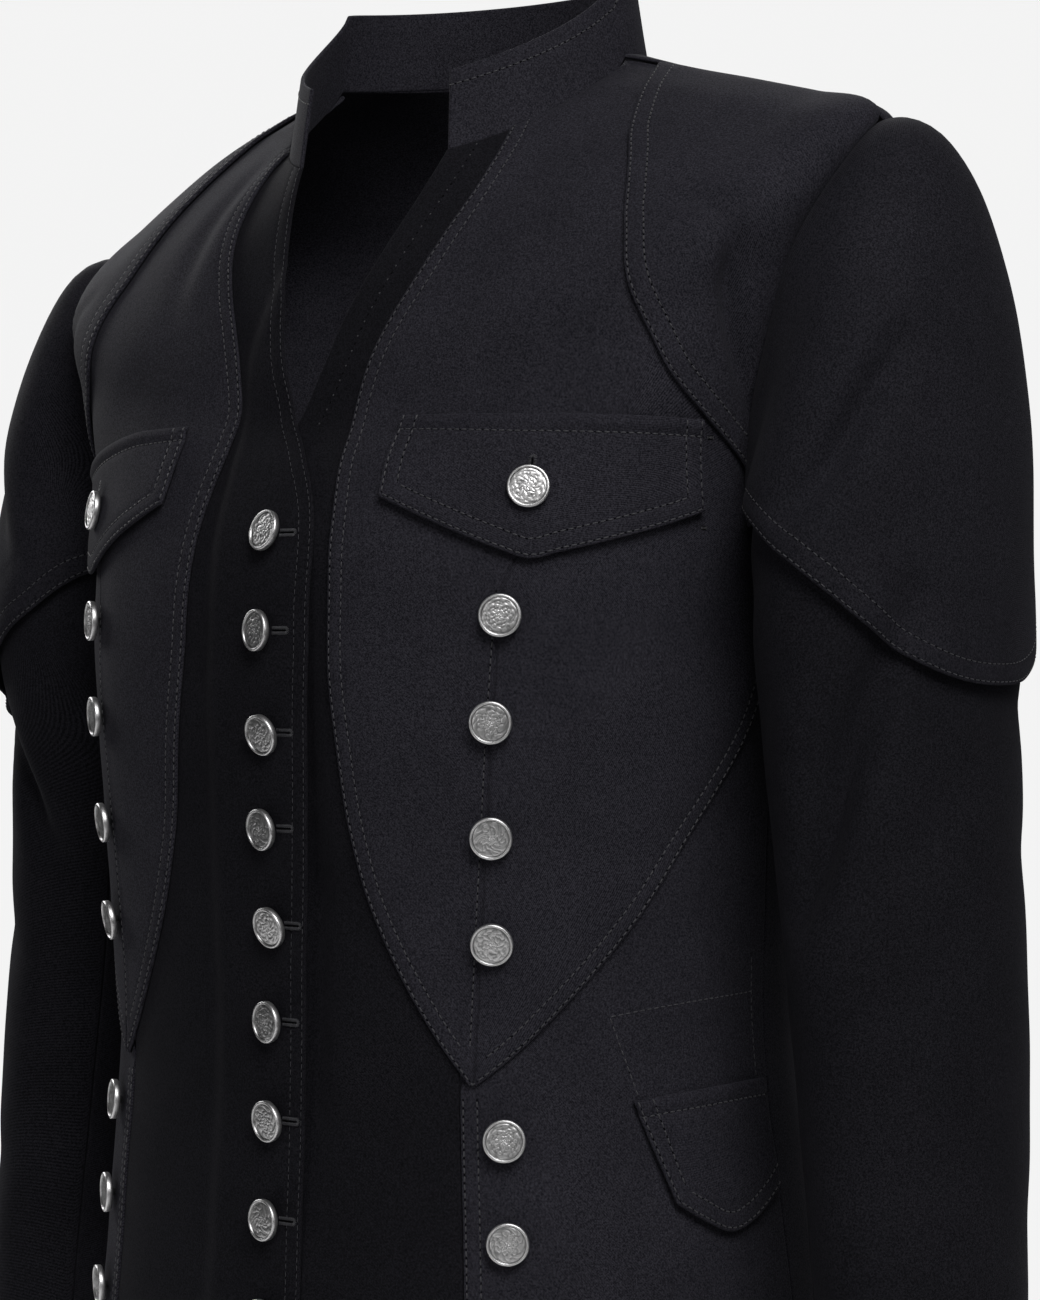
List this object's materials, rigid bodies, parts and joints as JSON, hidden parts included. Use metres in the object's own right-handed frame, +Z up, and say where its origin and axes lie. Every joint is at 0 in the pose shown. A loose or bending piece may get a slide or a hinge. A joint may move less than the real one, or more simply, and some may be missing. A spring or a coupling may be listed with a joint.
{
  "type": "fitted jacket",
  "caption": "Fitted short jacket with a stand collar, narrow V neck, curved lapped chest panels, flapped pockets and domed metal buttons, shown filled out as worn.",
  "frame": {"origin": "midway between the two side neck points, where the shoulder seams meet the collar", "axes": "+Z up, -Y out of the chest, +X towards the wearer's left"},
  "size_m": [0.5708, 0.2845, 0.6814],
  "materials": {
    "jacket_cloth": "matt",
    "button_metal": "satin"
  },
  "bodies": {
    "root": {"back_left": "jacket_cloth", "back_right": "jacket_cloth", "button_flap_left": "button_metal", "button_flap_right": "button_metal", "button_front_1": "button_metal", "button_front_2": "button_metal", "button_front_3": "button_metal", "button_front_4": "button_metal", "button_front_5": "button_metal", "button_front_6": "button_metal", "button_front_7": "button_metal", "button_front_8": "button_metal", "button_front_9": "button_metal", "button_shield_left_1": "button_metal", "button_shield_left_2": "button_metal", "button_shield_left_3": "button_metal", "button_shield_left_4": "button_metal", "button_shield_right_1": "button_metal", "button_shield_right_2": "button_metal", "button_shield_right_3": "button_metal", "button_shield_right_4": "button_metal", "button_side_left_1": "button_metal", "button_side_left_2": "button_metal", "button_side_left_3": "button_metal", "button_side_right_1": "button_metal", "button_side_right_2": "button_metal", "button_side_right_3": "button_metal", "chest_flap_left": "jacket_cloth", "chest_flap_right": "jacket_cloth", "collar": "jacket_cloth", "front_left": "jacket_cloth", "front_right": "jacket_cloth", "front_side_left": "jacket_cloth", "front_side_right": "jacket_cloth", "hip_flap_left": "jacket_cloth", "hip_flap_right": "jacket_cloth", "shield_left": "jacket_cloth", "shield_right": "jacket_cloth", "shoulder_overlay_left": "jacket_cloth", "shoulder_overlay_right": "jacket_cloth", "sleeve_overlay_left": "jacket_cloth", "sleeve_overlay_right": "jacket_cloth", "sleeve_top_left": "jacket_cloth", "sleeve_top_right": "jacket_cloth", "sleeve_under_left": "jacket_cloth", "sleeve_under_right": "jacket_cloth"}
  },
  "joints": []
}
